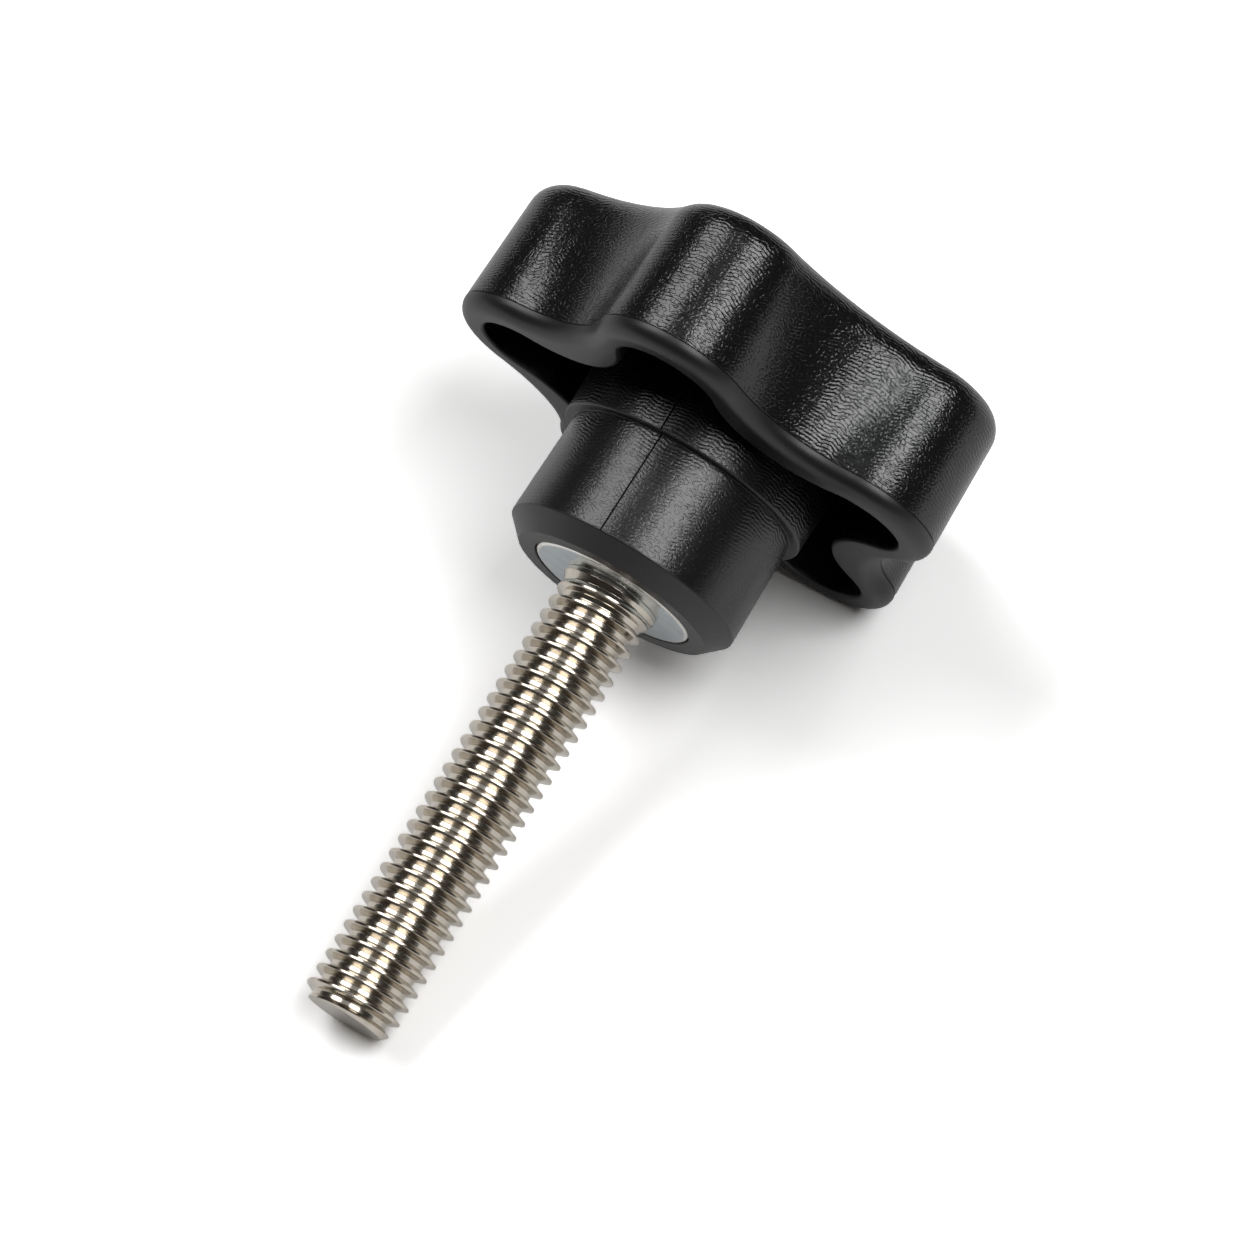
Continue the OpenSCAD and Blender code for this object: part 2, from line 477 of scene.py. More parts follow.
class ShaderTree:
    """A material's or the world's node tree, with one method for nodes and one for arithmetic."""

    def __init__(self, owner: bpy.types.Material | bpy.types.World) -> None:
        """Empties the tree of its owner.

        Args:
            owner: a material or a world.
        """
        owner.use_nodes = True
        self.tree = owner.node_tree
        self.tree.nodes.clear()

    def node(self, kind: str, settings: Mapping[str, object], sockets: Mapping[str | int, object]
             ) -> bpy.types.Node:
        """Adds one node.

        Args:
            kind: the node's type.
            settings: its properties, which are set first.
            sockets: the value or the link of each input.

        Returns:
            The node.
        """
        made = self.tree.nodes.new(kind)
        for name, value in settings.items():
            setattr(made, name, value)
        for name, value in sockets.items():
            self._feed(made.inputs[name], value)
        return made

    def _feed(self, socket: bpy.types.NodeSocket, value: object) -> None:
        """Links a socket, or sets its value.

        Args:
            socket: an input of a node.
            value: a signal, an output of a node, or a plain value.
        """
        if isinstance(value, Signal):
            value = value.socket
        if isinstance(value, bpy.types.NodeSocket):
            self.tree.links.new(value, socket)
        elif socket.type == "RGBA" and len(value) == 3:
            socket.default_value = (*value, 1.0)
        else:
            socket.default_value = value

    def join(self, kind: str, operation: str, operands: Sequence) -> Signal:
        """Adds a Math or a Vector Math node.

        Args:
            kind: the node's type.
            operation: its operation.
            operands: signals, numbers or triples.

        Returns:
            The result.
        """
        spread = kind == "ShaderNodeVectorMath"
        values = [(v, v, v) if spread and isinstance(v, (int, float)) else v for v in operands]
        made = self.node(kind, {"operation": operation}, dict(enumerate(values)))
        number = operation in ("DOT_PRODUCT", "LENGTH")
        found = made.outputs["Value"] if number else made.outputs[0]
        return Signal(self, found)

    def signal(self, kind: str, output: str, settings: Mapping[str, object],
               sockets: Mapping[str | int, object]) -> Signal:
        """Adds one node and wraps one of its outputs."""
        return Signal(self, self.node(kind, settings, sockets).outputs[output])

    def place(self) -> Signal:
        """Place on the piece, in millimetres around the knob's own axis."""
        return self.signal("ShaderNodeAttribute", "Vector", {"attribute_name": PLACE}, {})

    def weight(self, name: str) -> Signal:
        """A number that the mesh carries at each point."""
        return self.signal("ShaderNodeAttribute", "Fac", {"attribute_name": name}, {})

    def noise(self, place: Signal, scale: float, detail: float = 2.0, roughness: float = 0.5) -> Signal:
        """Noise between 0 and 1.

        Args:
            place: where it is read.
            scale: waves to the millimetre.
            detail: octaves.
            roughness: strength of each octave against the last.

        Returns:
            The noise.
        """
        sockets = {"Vector": place, "Scale": scale, "Detail": detail, "Roughness": roughness}
        return self.signal("ShaderNodeTexNoise", "Fac", {}, sockets)

    def blend(self, share: Signal | float, first: Sequence[float], second: Sequence[float]) -> Signal:
        """Mixes two colours by a share of the second."""
        made = self.node("ShaderNodeMix", {"data_type": "RGBA"}, {0: share, 6: first, 7: second})
        return Signal(self, made.outputs[2])

    def bump(self, height: Signal, depth: float) -> Signal:
        """Turns a height between 0 and 1 into a normal.

        Args:
            height: the height.
            depth: what a height of 1 stands for, in millimetres.

        Returns:
            The normal.
        """
        sockets = {"Height": height, "Distance": depth * MM, "Strength": 1.0}
        return self.signal("ShaderNodeBump", "Normal", {}, sockets)

    def surface(self, sockets: Mapping[str | int, object]) -> None:
        """Ends a material in one Principled shader with these sockets."""
        made = self.node("ShaderNodeBsdfPrincipled", {}, sockets)
        self.node("ShaderNodeOutputMaterial", {}, {"Surface": made.outputs["BSDF"]})


@dataclass(frozen=True)
class GrainedPlastic:
    """Black moulded plastic with a fine leathery grain that its satin rims don't have.

    Args:
        name: the material's name.
        colour: colour of the plastic.
        lighter: colour of its lightest patches against that.
        ridge: distance from one ridge of the grain to the next, in millimetres.
        whorl: bends of the ridges to the millimetre.
        stretch: bends to the millimetre along the axis, as a share of whorl.
        sway: how far the bends carry the ridges along the axis, in millimetres.
        wander: how far the crumbs carry them, in radians of a ridge.
        broken: share of the ridges' height that is lost where they break off.
        ridge_h: height of the ridges, as a share of the depth to each side.
        crumb_h: height of the crumbs between them, as a share of the depth.
        fold_h: height of the folds across them, as a share of the depth.
        depth: depth of the grain, in millimetres.
        satin: roughness where there is no grain.
        dull: roughness of the grained skin.
        uneven: how far the roughness varies.
        ior: index of refraction.
    """

    name: str = "black_moulding"
    colour: tuple[float, float, float] = (0.0042, 0.0042, 0.0046)
    lighter: float = 1.4
    ridge: float = 0.24
    whorl: float = 0.8
    stretch: float = 0.3
    sway: float = 0.95
    wander: float = 4.0
    broken: float = 0.4
    ridge_h: float = 0.4
    crumb_h: float = 0.45
    fold_h: float = 0.38
    depth: float = 0.019
    satin: float = 0.4
    dull: float = 0.21
    uneven: float = 0.02
    ior: float = 1.6

    def material(self) -> bpy.types.Material:
        """Makes the material.

        Returns:
            The material.
        """
        made = bpy.data.materials.new(self.name)
        tree = ShaderTree(made)
        place = tree.place()
        grain = tree.weight(GRAIN)
        along = place.apply("DOT_PRODUCT", (0.0, 0.0, 1.0))
        sway = tree.noise(place * (1.0, 1.0, self.stretch), self.whorl, 1.0, 0.4) * self.sway
        crumbs = tree.noise(place, 1.0 / self.ridge, 1.0)
        ridges = ((along + sway) * (2 * math.pi / self.ridge) + crumbs * self.wander).apply("SINE")
        whole = tree.noise(place, 0.4 / self.ridge, 1.0).ramp(0.4, 0.56, 1 - self.broken, 1.0)
        shifted = place * (0.75, 0.75, 1.2) + (31.0, 7.0, 3.0)
        folds = (tree.noise(shifted, 0.75 / self.ridge, 0.0) - 0.5).apply("ABSOLUTE").ramp(0.0, 0.08)
        height = (ridges * whole * self.ridge_h + crumbs * self.crumb_h + folds * self.fold_h) * grain
        mottle = tree.noise(place, 0.5)
        rough = self.satin + grain * (self.dull - self.satin) + (mottle - 0.5) * self.uneven
        tree.surface({
            "Base Color": tree.blend(mottle, self.colour, tuple(self.lighter * c for c in self.colour)),
            "Roughness": rough,
            "IOR": self.ior,
            "Normal": tree.bump(height, self.depth),
        })
        return made


@dataclass(frozen=True)
class TurnedZinc:
    """Bluish zinc plating over a turned face, with a highlight painted on the chamfer around the face.

    Args:
        name: the material's name.
        colour: colour of the plating.
        cloud: colour of its cloudier patches.
        bevel_highlight: lighter colour painted on the chamfer around the face, a painted highlight that
            stands in for the light its rounding catches all round.
        bevel_r: radius where the chamfer starts, in millimetres.
        bevel_soft: how far the painted highlight fades in to each side of that, in millimetres.
        bevel_rough: how much rougher the chamfer is.
        rough: roughness.
        uneven: how far the roughness varies.
        mark: distance from one turning mark to the next, in millimetres.
        depth: depth of the turning marks, in millimetres.
    """

    name: str = "zinc_plating"
    colour: tuple[float, float, float] = (0.63, 0.70, 0.73)
    cloud: tuple[float, float, float] = (0.55, 0.62, 0.66)
    bevel_highlight: tuple[float, float, float] = (0.86, 0.84, 0.8)
    bevel_r: float = 5.05
    bevel_soft: float = 0.05
    bevel_rough: float = 0.12
    rough: float = 0.16
    uneven: float = 0.1
    mark: float = 0.09
    depth: float = 0.0006

    def material(self) -> bpy.types.Material:
        """Makes the material.

        Returns:
            The material.
        """
        made = bpy.data.materials.new(self.name)
        tree = ShaderTree(made)
        place = tree.place()
        out = (place * (1.0, 1.0, 0.0)).apply("LENGTH")
        marks = (out * (2 * math.pi / self.mark)).apply("SINE")
        # Where the chamfer is: it gets a painted highlight, a lighter colour standing in for the light it
        # catches all round, and more roughness
        bevel_highlight = out.ramp(self.bevel_r - self.bevel_soft, self.bevel_r + self.bevel_soft)
        patches = tree.noise(place, 0.8, 3.0)
        face = tree.blend(patches.ramp(0.35, 0.7), self.colour, self.cloud)
        tree.surface({
            # The lighter colour on the chamfer is a painted highlight
            "Base Color": tree.blend(bevel_highlight, face, self.bevel_highlight),
            "Metallic": 1.0,
            "Roughness": self.rough + (patches - 0.5) * self.uneven + bevel_highlight * self.bevel_rough,
            "Normal": tree.bump(marks * 0.5 + 0.5, self.depth),
        })
        return made


@dataclass(frozen=True)
class RolledSteel:
    """Bright steel with the warm tone of nickel and faint lines around the rolled thread.

    Args:
        name: the material's name.
        colour: colour of the metal.
        tarnish: colour of its darker patches.
        rough: roughness.
        uneven: how far the roughness varies.
        line: distance from one line to the next, in millimetres.
        depth: depth of the lines, in millimetres.
    """

    name: str = "rolled_thread"
    colour: tuple[float, float, float] = (0.66, 0.61, 0.535)
    tarnish: tuple[float, float, float] = (0.57, 0.52, 0.445)
    rough: float = 0.17
    uneven: float = 0.08
    line: float = 0.05
    depth: float = 0.0008

    def material(self) -> bpy.types.Material:
        """Makes the material.

        Returns:
            The material.
        """
        made = bpy.data.materials.new(self.name)
        tree = ShaderTree(made)
        place = tree.place()
        lines = tree.noise(place * (0.15, 0.15, 1.0), 0.5 / self.line, 2.0, 0.7)
        patches = tree.noise(place, 1.1, 3.0)
        tree.surface({
            "Base Color": tree.blend(patches.ramp(0.45, 0.75), self.colour, self.tarnish),
            "Metallic": 1.0,
            "Roughness": self.rough + (lines - 0.5) * self.uneven,
            "Normal": tree.bump(lines, self.depth),
        })
        return made


@dataclass(frozen=True)
class Knurl:
    """The knurled band and the locking groove of the insert, and of its seat.

    Args:
        radius: radius of the insert.
        length: length of the insert.
        chamfer: chamfer at its inner end.
        groove_z: from the face to the groove.
        groove_w: width of the groove.
        groove_depth: depth of the groove.
        teeth: number of teeth.
        height: height of the teeth.
        sink: how far the teeth run on below the surface.
        band: length of the knurled band.
        band_end: plain length past the band.
    """

    radius: float = 5.35
    length: float = 13.5
    chamfer: float = 0.3
    groove_z: float = 3.2
    groove_w: float = 1.8
    groove_depth: float = 0.9
    teeth: int = 30
    height: float = 0.35
    sink: float = 0.1
    band: float = 6.0
    band_end: float = 1.0

    def rings(self, angles: np.ndarray, gap: float) -> list[tuple[np.ndarray, float]]:
        """Walks from the groove's near edge to the inner end.

        Args:
            angles: angle of each point of a ring.
            gap: how far the surface is grown.

        Returns:
            The radii and the height of each ring.
        """
        r = self.radius + gap
        deep = r - self.groove_depth
        slope = self.groove_depth / 2
        share = np.abs((angles * self.teeth / (2 * math.pi)) % 1.0 - 0.5) * 2
        toothed = np.maximum(r, r + self.height - (self.height + self.sink) * share)
        band_z = self.length - self.chamfer - self.band_end - self.band
        walked = [
            (r, self.groove_z + gap),
            (deep, self.groove_z + gap + slope),
            (deep, self.groove_z + self.groove_w - gap - slope),
            (r, self.groove_z + self.groove_w - gap),
            (r, band_z - gap),
            (toothed, band_z - gap),
            (toothed, band_z + self.band + gap),
            (r, band_z + self.band + gap),
            (r, self.length - self.chamfer),
            (r - self.chamfer, self.length + gap),
        ]
        return [(np.broadcast_to(radius, angles.shape), height) for radius, height in walked]


@dataclass(frozen=True)
class KnobBody:
    """The moulded body: hollow lobed head, hub with its shoulder, and the insert's seat.

    Args:
        insert: the insert that it is moulded around. All lengths are in millimetres.
        mould_gap: gap around the insert.
        hub_r: radius of the hub past its chamfer.
        hub_taper: how far the hub narrows on its way to the shoulder.
        hub_length: from the end face to the shoulder.
        hub_chamfer: chamfer around the end face.
        shoulder_w: width of the shoulder.
        shoulder_round: rounding of the shoulder's edge.
        root_round: rounding where the hub meets the ceiling of the hollow.
        head_r: radius over the lobes.
        lobes: number of lobes.
        lobe_r: radius of a lobe's arc.
        valley_depth: depth of the valleys at the rim.
        valley_top: share of the valleys' hollow that is left at the top.
        rim_rise: from the shoulder to the rim.
        head_h: from the rim to the edge of the top.
        rim_round: rounding around the outside of the rim.
        top_round: rounding around the top.
        crown: rise of the top at its middle.
        side_draft: draft of the side, in degrees.
        lobe_wall: wall at the lobes.
        valley_wall: wall at the valleys.
        roof: thickness of the roof.
        ceiling_round: rounding where the wall meets the ceiling.
        lip_round: rounding around the inside of the rim.
        hollow_draft: draft of the hollow, in degrees.
        edge: rounding of the other edges.
        seam_angle: where the parting line runs along the hub, in radians.
        seam_w: width of the parting lines.
        seam_depth: depth of the parting lines.
        seam_step: how far the side steps in at the parting line.
        steps: steps of each rounding of the head.
    """

    insert: Knurl
    mould_gap: float = 0.02
    hub_r: float = 7.7
    hub_taper: float = 0.15
    hub_length: float = 8.1
    hub_chamfer: float = 1.2
    shoulder_w: float = 0.65
    shoulder_round: float = 0.1
    root_round: float = 0.6
    head_r: float = 17.0
    lobes: int = 5
    lobe_r: float = 5.1
    valley_depth: float = 4.4
    valley_top: float = 0.55
    rim_rise: float = 1.7
    head_h: float = 10.0
    rim_round: float = 1.0
    top_round: float = 1.8
    crown: float = 0.6
    side_draft: float = 1.5
    lobe_wall: float = 1.9
    valley_wall: float = 3.0
    roof: float = 2.2
    ceiling_round: float = 0.8
    lip_round: float = 0.25
    hollow_draft: float = 1.0
    edge: float = 0.12
    seam_angle: float = math.pi
    seam_w: float = 0.12
    seam_depth: float = 0.09
    seam_step: float = 0.03
    steps: int = 9

    @property
    def rim_z(self) -> float:
        """Height of the rim of the head."""
        return self.hub_length + self.rim_rise

    @property
    def top_z(self) -> float:
        """Height of the edge of the top."""
        return self.rim_z + self.head_h

    @property
    def ceiling_z(self) -> float:
        """Height of the ceiling of the hollow."""
        return self.top_z - self.roof

    @property
    def shoulder_r(self) -> float:
        """Radius of the hub past its shoulder."""
        return self.hub_r - self.hub_taper + self.shoulder_w

    @property
    def side_inset(self) -> float:
        """How far the draft brings the side in at the edge of the top."""
        return (self.edge_z - self.side_z) * math.tan(math.radians(self.side_draft))

    @property
    def hollow_inset(self) -> float:
        """How far the draft brings the wall of the hollow in at its ceiling."""
        return (self.ceiling_z - self.rim_z) * math.tan(math.radians(self.hollow_draft))

    @property
    def side_z(self) -> float:
        """Height where the side of the head starts."""
        return self.rim_z + self.rim_round

    @property
    def edge_z(self) -> float:
        """Height where the side of the head ends."""
        return self.top_z - self.top_round

    def around(self, inset: float, height: float) -> np.ndarray:
        """Works out the outside of the head, whose valleys get shallower towards the top.

        Args:
            inset: how far the outline is moved in.
            height: height of the outline.

        Returns:
            The outline's points in plan.
        """
        share = min(1.0, max(0.0, (height - self.side_z) / (self.edge_z - self.side_z)))
        outline = LobedOutline(self.head_r, self.lobe_r, self.head_r - self.valley_depth, self.lobes)
        return outline.points(inset, (1.0 - self.valley_top) * share)

    @property
    def inside(self) -> LobedOutline:
        """Outline of the hollow."""
        floor = self.head_r - self.valley_depth - self.valley_wall
        return LobedOutline(self.head_r - self.lobe_wall, self.lobe_r - self.lobe_wall, floor, self.lobes)

    def build(self, axes: KnobAxes, finish: GrainedPlastic) -> bpy.types.Object:
        """Makes the moulding and dresses it.

        Args:
            axes: where the knob lies.
            finish: its finish.

        Returns:
            The moulding.
        """
        skin = RingSkin(self.insert.length + self.mould_gap, self.top_z + self.crown)
        wall = self.inside.points(self.hollow_inset)
        angles = np.arctan2(wall[:, 1], wall[:, 0])
        self._seat(skin, angles)
        self._hub(skin, self._seamed(angles))
        self._hollow(skin, angles)
        self._outside(skin)
        piece = skin.build("knob_moulding", axes)
        piece.data.materials.append(finish.material())
        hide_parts("knob_body")
        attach(piece, "root")
        return piece

    def _seat(self, skin: RingSkin, angles: np.ndarray) -> None:
        """Walks the insert's seat from its inner end out to the groove.

        Args:
            skin: the skin that is walked.
            angles: angle of each point of a ring.
        """
        for radii, height in reversed(self.insert.rings(angles, self.mould_gap)):
            skin.circle(angles, radii, height)

    def _seamed(self, angles: np.ndarray) -> np.ndarray:
        """Draws five points of a ring together around the mould's parting line on the hub.

        Args:
            angles: angle of each point of a ring.

        Returns:
            The angles, of which those five are moved.
        """
        moved = angles.copy()
        away = np.angle(np.exp(1j * (angles - self.seam_angle)))
        middle = int(np.argmin(np.abs(away)))
        # Places across the line in its own widths: both shoulders, both edges and the bottom
        for step, across in enumerate((-0.65, -0.5, 0.0, 0.5, 0.65), start=-2):
            moved[(middle + step) % len(moved)] = self.seam_angle + across * self.seam_w / self.hub_r
        return moved

    def _hub(self, skin: RingSkin, angles: np.ndarray) -> None:
        """Walks the end face, the chamfer, the hub's wall and its shoulder.

        Args:
            skin: the skin that is walked.
            angles: angle of each point of a ring.
        """
        seat_r = self.insert.radius + self.mould_gap
        root_r = self.shoulder_r + self.hollow_inset
        section = Section((
            Corner(seat_r, self.insert.groove_z),
            Corner(seat_r, 0.0, self.edge / 2),
            Corner(self.hub_r - self.hub_chamfer, 0.0, self.edge),
            Corner(self.hub_r, self.hub_chamfer, self.edge, Skin.FINE),
            Corner(self.hub_r - self.hub_taper, self.hub_length, self.edge / 3),
            Corner(self.shoulder_r, self.hub_length, self.shoulder_round, Skin.FINE),
            Corner(root_r, self.ceiling_z - self.root_round, 0.0, Skin.FINE),
        ))
        away = np.angle(np.exp(1j * (angles - self.seam_angle))) * self.hub_r
        line = np.clip(1 - np.abs(away) / (self.seam_w / 2), 0.0, 1.0) * self.seam_depth
        for radius, height, skin_here in section.walk()[1:-1]:
            on_wall = height > self.hub_chamfer
            skin.circle(angles, radius - line if on_wall else radius, height, skin_here)
        end = self.ceiling_z - self.ceiling_round - self.edge
        share = (end - self.hub_length) / (self.ceiling_z - self.root_round - self.hub_length)
        radius = self.shoulder_r + share * self.hollow_inset
        skin.circle(angles, radius - line, end, Skin.FINE)

    def _hub_radius(self, height: np.ndarray) -> np.ndarray:
        """Radius of the hub's root at heights near the ceiling.

        Args:
            height: heights from where the rounding of the root starts.

        Returns:
            The radius at each height.
        """
        up = np.clip(height - (self.ceiling_z - self.root_round), 0.0, self.root_round)
        spread = self.root_round - np.sqrt(self.root_round**2 - up**2)
        return self.shoulder_r + self.hollow_inset + spread

    def _hollow(self, skin: RingSkin, angles: np.ndarray) -> None:
        """Walks the root of the hub, the ceiling, and the wall of the hollow down to its lip.

        Where a valley's wall meets the root of the hub below the ceiling, both end at that place.

        Args:
            skin: the skin that is walked.
            angles: angle of each point of a ring.
        """
        quarter = np.linspace(0.0, math.pi / 2, self.steps + 1)
        heights = self.ceiling_z - self.ceiling_round * (1 - np.sin(quarter))
        insets = self.hollow_inset + self.ceiling_round * (1 - np.cos(quarter))
        plans = np.array([self.inside.points(inset) for inset in insets])
        room = np.linalg.norm(plans, axis=2) - self._hub_radius(heights)[:, None]
        levels = np.repeat(heights[:, None], plans.shape[1], axis=1)
        for column in np.flatnonzero((room < 0).any(axis=0)):
            meet = int(np.argmax(room[:, column] < 0))
            share = room[meet - 1, column] / (room[meet - 1, column] - room[meet, column])
            plan = plans[meet - 1, column] * (1 - share) + plans[meet, column] * share
            plans[meet:, column] = plan
            levels[meet:, column] = heights[meet - 1] * (1 - share) + heights[meet] * share
        top = levels[-1]
        for a in quarter:
            level = np.minimum(self.ceiling_z - self.root_round * (1 - math.sin(a)), top)
            skin.ring(on_circle(angles, self._hub_radius(level)), level)
        for plan, level in zip(plans[::-1], levels[::-1]):
            skin.ring(plan, level)
        for share in (0.7, 0.35):
            height = self.rim_z + share * (self.ceiling_z - self.ceiling_round - self.rim_z)
            skin.ring(self.inside.points(self.hollow_inset * share), height)
        for a in quarter:
            inset = -self.lip_round * (1 - math.cos(a))
            skin.ring(self.inside.points(inset), self.rim_z + self.lip_round * (1 - math.sin(a)))

    def _outside(self, skin: RingSkin) -> None:
        """Walks the rim, the parting line, the side, and the crowned top.

        Args:
            skin: the skin that is walked.
        """
        quarter = np.linspace(0.0, math.pi / 2, self.steps + 1)
        lip = self.rim_round + self.edge / 2
        skin.ring(self.around(lip, self.rim_z), self.rim_z)
        for a in quarter:
            height = self.rim_z + self.rim_round * (1 - math.cos(a))
            skin.ring(self.around(self.rim_round * (1 - math.sin(a)), height), height)
        # Place across the parting line in its own widths, depth there, and the skin that follows
        seam = (
            (0.3, 0.0, Skin.SATIN),
            (0.6, self.seam_depth, Skin.SATIN),
            (0.8, self.seam_depth, Skin.SATIN),
            (1.1, self.seam_step, Skin.SATIN),
            (1.6, self.seam_step, Skin.GRAINED),
        )
        for across, depth, skin_here in seam:
            height = self.side_z + across * self.seam_w
            skin.ring(self.around(depth, height), height, skin_here)
        for share in (0.05, 0.3, 0.6, 0.95, 1.0):
            height = self.side_z + share * (self.edge_z - self.side_z)
            skin.ring(self.around(self.side_inset * share, height), height, Skin.GRAINED)
        for a in quarter[1:]:
            inset = self.side_inset + self.top_round * (1 - math.cos(a))
            height = self.edge_z + self.top_round * math.sin(a)
            skin.ring(self.around(inset, height), height, Skin.GRAINED)
        edge = self.around(self.side_inset + self.top_round, self.top_z)
        for share in (0.97, 0.85, 0.7, 0.55, 0.4, 0.25, 0.12):
            skin.ring(edge * share, self.top_z + self.crown * (1 - share**2), Skin.GRAINED)


@dataclass(frozen=True)
class Insert:
    """The steel insert with its blind hole.

    Args:
        shape: its outside. All lengths are in millimetres.
        hole_r: radius of its hole.
        hole_depth: depth of its hole.
        edge: rounding around the mouth of the hole.
        points: points of each ring.
        steps: steps of each rounding.
    """

    shape: Knurl
    hole_r: float = 2.7
    hole_depth: float = 10.04
    edge: float = 0.03
    points: int = 240
    steps: int = 7

    def build(self, axes: KnobAxes, finish: TurnedZinc) -> bpy.types.Object:
        """Makes the insert and dresses it.

        Args:
            axes: where the knob lies.
            finish: its finish.

        Returns:
            The insert.
        """
        shape = self.shape
        angles = np.linspace(0.0, 2 * math.pi, self.points, endpoint=False)
        skin = RingSkin(self.hole_depth, shape.length)
        section = Section((
            Corner(self.hole_r, self.hole_depth),
            Corner(self.hole_r, 0.0, self.edge),
            Corner(shape.radius, 0.0, shape.chamfer),
            Corner(shape.radius, shape.groove_z),
        ), self.steps)
        for radius, height, skin_here in section.walk()[:-1]:
            skin.circle(angles, radius, height, skin_here)
        for radii, height in shape.rings(angles, 0.0):
            skin.circle(angles, radii, height)
        piece = skin.build("knurled_insert", axes)
        piece.data.materials.append(finish.material())
        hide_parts("threaded_insert")
        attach(piece, "root")
        return piece


@dataclass(frozen=True)
class Stud:
    """The stud with its right-hand thread, cut as one helical skin.

    Args:
        radius: radius over the thread. All lengths are in millimetres.
        length: from the hub's end face to the tip.
        tip_chamfer: chamfer of both ends.
        collar_h: height of the collar.
        collar_step: how far the collar stands out.
        grip: length inside the insert.
        crest_to_pitch: from the radius over the thread to the radius inside the insert.
        pitch: pitch of the thread.
        depth: depth of the thread.
        crest_w: width of its crests before they are rounded.
        flank: angle between its flanks and a plane across the stud, in degrees.
        crest_round: rounding of the crests.
        root_round: rounding of the roots.
        runout: length over which the thread grows to its full depth.
        edge: rounding of the other edges.
        points: points around the stud.
    """

    radius: float = 3.0
    length: float = 30.0
    tip_chamfer: float = 0.55
    collar_h: float = 0.5
    collar_step: float = 0.12
    grip: float = 10.0
    crest_to_pitch: float = 0.32
    pitch: float = 1.0
    depth: float = 0.613
    crest_w: float = 0.17
    flank: float = 22.0
    crest_round: float = 0.12
    root_round: float = 0.09
    runout: float = 2.2
    edge: float = 0.05
    points: int = 120

    def build(self, axes: KnobAxes, finish: RolledSteel) -> bpy.types.Object:
        """Makes the stud and dresses it.

        Args:
            axes: where the knob lies.
            finish: its finish.

        Returns:
            The stud.
        """
        shank = self._shank()
        thread, faces = self._thread(len(shank) * self.points)
        rings = np.concatenate([*shank, thread])
        points = np.concatenate([rings, [(0.0, 0.0, self.grip), (0.0, 0.0, -self.length)]])
        faces += bands(len(shank) + 1, self.points)
        faces += fan(len(rings), 0, self.points)
        faces += fan(len(rings) + 1, len(rings) - self.points, self.points)
        piece = make_piece("threaded_rod", points, faces, np.zeros(len(points)), axes)
        piece.data.materials.append(finish.material())
        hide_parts("threaded_stud")
        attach(piece, "root")
        return piece

    @property
    def angles(self) -> np.ndarray:
        """Angle of each column of points."""
        return np.linspace(0.0, 2 * math.pi, self.points, endpoint=False)

    def _shank(self) -> list[np.ndarray]:
        """Walks the plain end in the insert and the collar.

        Returns:
            The points of each ring.
        """
        grip_r = self.radius - self.crest_to_pitch
        collar_r = self.radius + self.collar_step
        section = Section((
            Corner(grip_r - self.tip_chamfer, self.grip),
            Corner(grip_r, self.grip - self.tip_chamfer, self.edge),
            Corner(grip_r, 0.0, self.edge / 2),
            Corner(collar_r, 0.0, self.edge),
            Corner(collar_r, -self.collar_h * 0.6, self.edge),
            Corner(self.radius, -self.collar_h),
        ))
        return [
            np.column_stack([on_circle(self.angles, r), np.full(self.points, z)])
            for r, z, _ in section.walk()[:-1]
        ]

    def _profile(self) -> list[tuple[float, float]]:
        """Depth of the thread at places across one pitch, from crest to crest.

        Its corners hold the place along the stud as their radius and the depth as their height.

        Returns:
            The place in pitches and the depth below the crest of each point.
        """
        fall = self.depth * math.tan(math.radians(self.flank))
        half = self.crest_w / 2
        corners = (
            Corner(0.0, 0.0),
            Corner(half, 0.0, self.crest_round),
            Corner(half + fall, self.depth, self.root_round),
            Corner(self.pitch - half - fall, self.depth, self.root_round),
            Corner(self.pitch - half, 0.0, self.crest_round),
            Corner(self.pitch, 0.0),
        )
        walked = Section(corners, steps=4, support=0.02).walk()[:-1]
        return [(along / self.pitch, depth) for along, depth, _ in walked]

    def _thread(self, first: int) -> tuple[np.ndarray, list[tuple[int, ...]]]:
        """Walks the thread along its helix, held between the collar and the tip.

        Args:
            first: number of points before the thread's own.

        Returns:
            The points, one row of a turn's angles after another, and the faces between them.
        """
        start, end = self.collar_h, self.length
        profile = self._profile()
        turns = math.ceil((end - start) / self.pitch) + 2
        rows = [(start + (turn + along - 1) * self.pitch, depth) for turn in range(turns)
                for along, depth in profile]
        share = self.angles / (2 * math.pi)
        points = []
        for along, depth in rows:
            s = np.clip(along + (1 - share) * self.pitch, start, end)
            grown = np.clip((s - start) / self.runout, 0.0, 1.0)
            radius = self.radius - depth * grown * (2 - grown)
            limit = self.radius - self.tip_chamfer + (end - s)
            points.append(np.column_stack([on_circle(self.angles, np.minimum(radius, limit)), -s]))
        per_turn = len(profile)
        faces = []
        for row in range(len(rows) - 1):
            for column in range(self.points):
                on = column + 1
                shift = 0
                if on == self.points:
                    on = 0
                    shift = per_turn
                faces.append((
                    first + row * self.points + column,
                    first + (row + 1) * self.points + column,
                    first + max(row + 1 - shift, 0) * self.points + on,
                    first + max(row - shift, 0) * self.points + on,
                ))
        return np.concatenate(points), faces


